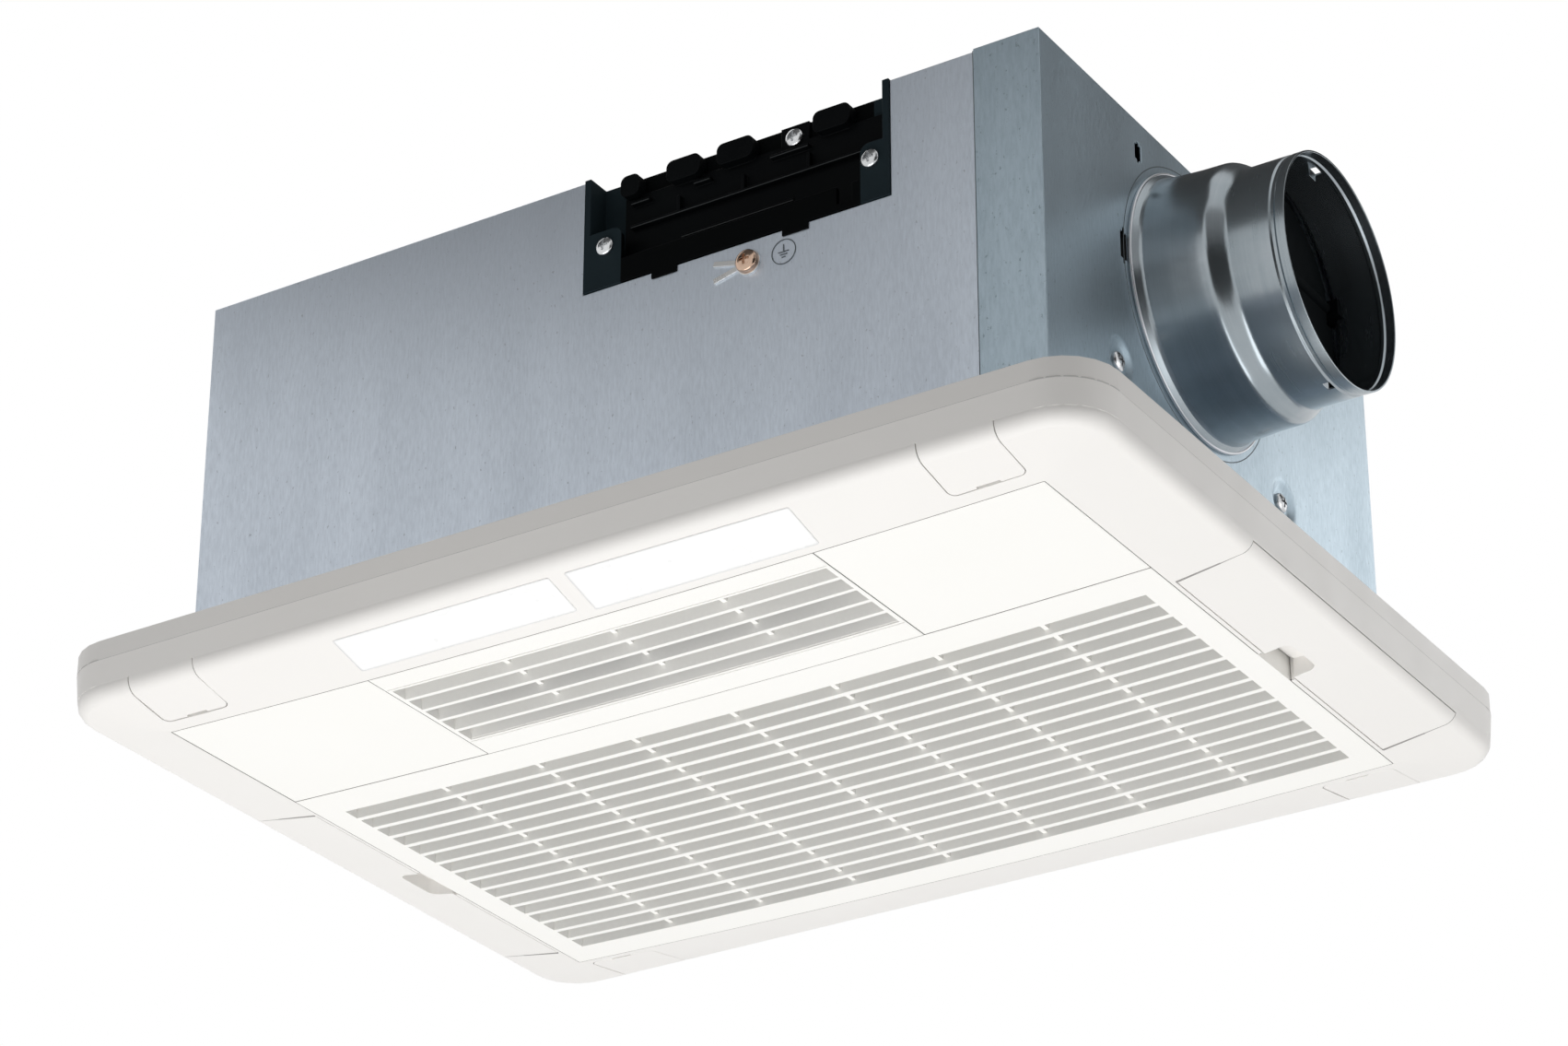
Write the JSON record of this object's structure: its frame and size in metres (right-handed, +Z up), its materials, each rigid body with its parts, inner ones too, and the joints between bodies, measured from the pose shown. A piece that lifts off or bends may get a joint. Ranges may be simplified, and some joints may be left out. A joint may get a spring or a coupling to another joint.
{
  "type": "ceiling bathroom fan heater",
  "caption": "Flush ceiling fan heater for a bathroom: steel casing above the ceiling, round duct collar, and a white grille panel below with a drop-out intake grille.",
  "frame": {"origin": "centre of the ceiling cut-out, on the ceiling's lower face", "axes": "+Z up into the ceiling, +X towards the duct collar, -Y towards the terminal box and the heated-air outlet"},
  "size_m": [0.5005, 0.36, 0.2035],
  "materials": {
    "galvanised": "galvanised sheet with a soft spangle",
    "duct_zinc": "galvanised, spun and slightly darker",
    "zinc_screws": "bright zinc plating",
    "earth_copper": "copper-coloured plating",
    "foam_rubber": "closed-cell foam",
    "shutter_black": "matt moulded",
    "terminal_black": "matt moulded",
    "panel_white": "fine satin moulding, warm white",
    "filter_plastic": "matt moulded",
    "filter_mesh": "woven net",
    "wheel_black": "matt moulded",
    "motor_steel": "grey enamel",
    "heater_mica": "cream heat-resistant moulding",
    "heater_metal": "thin pressed fins",
    "board_green": "lacquered board",
    "capacitor_shell": "smooth shell"
  },
  "bodies": {
    "casing": {"casing_wrap": "galvanised", "end_plate_duct": "galvanised", "end_plate_far": "galvanised", "mounting_frame": "galvanised", "end_plate_screws": "zinc_screws", "duct_collar": "duct_zinc", "duct_gasket": "foam_rubber", "shutter_brackets": "duct_zinc", "terminal_tray": "terminal_black", "terminal_block": "terminal_black", "terminal_screws": "zinc_screws", "earth_screw": "earth_copper", "earth_clip": "zinc_screws", "panel_frame": "panel_white", "panel_screws": "zinc_screws", "side_trim_left": "panel_white", "side_trim_right": "panel_white", "blank_plate_left": "panel_white", "blank_plate_right": "panel_white", "outlet_grille": "panel_white", "bellmouth_plate": "galvanised", "circulation_scroll": "galvanised", "circulation_motor": "motor_steel", "exhaust_inlet": "galvanised", "exhaust_scroll": "galvanised", "exhaust_motor": "motor_steel", "air_transition": "galvanised", "outlet_duct": "galvanised", "heater_frame": "heater_mica", "heater_bars": "heater_metal", "heater_fins": "heater_metal", "thermal_cutouts": "heater_mica", "control_box": "galvanised", "control_board": "board_green", "control_cover": "galvanised", "motor_capacitor": "capacitor_shell"},
    "grille": {"intake_grille": "panel_white", "filter_frame": "filter_plastic", "filter_net": "filter_mesh"},
    "cap_front_left": {"corner_cap_fl": "panel_white"},
    "cap_front_right": {"corner_cap_fr": "panel_white"},
    "cap_back_left": {"corner_cap_bl": "panel_white"},
    "cap_back_right": {"corner_cap_br": "panel_white"},
    "circulation_rotor": {"circulation_wheel": "wheel_black", "circulation_shaft": "zinc_screws"},
    "exhaust_rotor": {"exhaust_wheel": "wheel_black", "exhaust_shaft": "zinc_screws"},
    "shutter": {"shutter_flap": "shutter_black", "shutter_spindle": "zinc_screws"}
  },
  "joints": [
    {"name": "grille_drop", "type": "slide", "parent": "casing", "child": "grille", "axis": [0, 0, -1], "range_m": [0, 0.06]},
    {"name": "cap_front_left_pull", "type": "slide", "parent": "casing", "child": "cap_front_left", "axis": [0, 0, -1], "range_m": [0, 0.015]},
    {"name": "cap_front_right_pull", "type": "slide", "parent": "casing", "child": "cap_front_right", "axis": [0, 0, -1], "range_m": [0, 0.015]},
    {"name": "cap_back_left_pull", "type": "slide", "parent": "casing", "child": "cap_back_left", "axis": [0, 0, -1], "range_m": [0, 0.015]},
    {"name": "cap_back_right_pull", "type": "slide", "parent": "casing", "child": "cap_back_right", "axis": [0, 0, -1], "range_m": [0, 0.015]},
    {"name": "circulation_spin", "type": "hinge", "parent": "casing", "child": "circulation_rotor", "pos_m": [-0.098, 0.046, 0.05], "axis": [0, 0, 1], "continuous": true},
    {"name": "exhaust_spin", "type": "hinge", "parent": "casing", "child": "exhaust_rotor", "pos_m": [0.112, 0.04875, 0.1], "axis": [0, 0, 1], "continuous": true},
    {"name": "shutter_swing", "type": "hinge", "parent": "casing", "child": "shutter", "pos_m": [0.236, -0.0156, 0.1158], "axis": [0, -1, 0], "range_deg": [0, 70]}
  ]
}
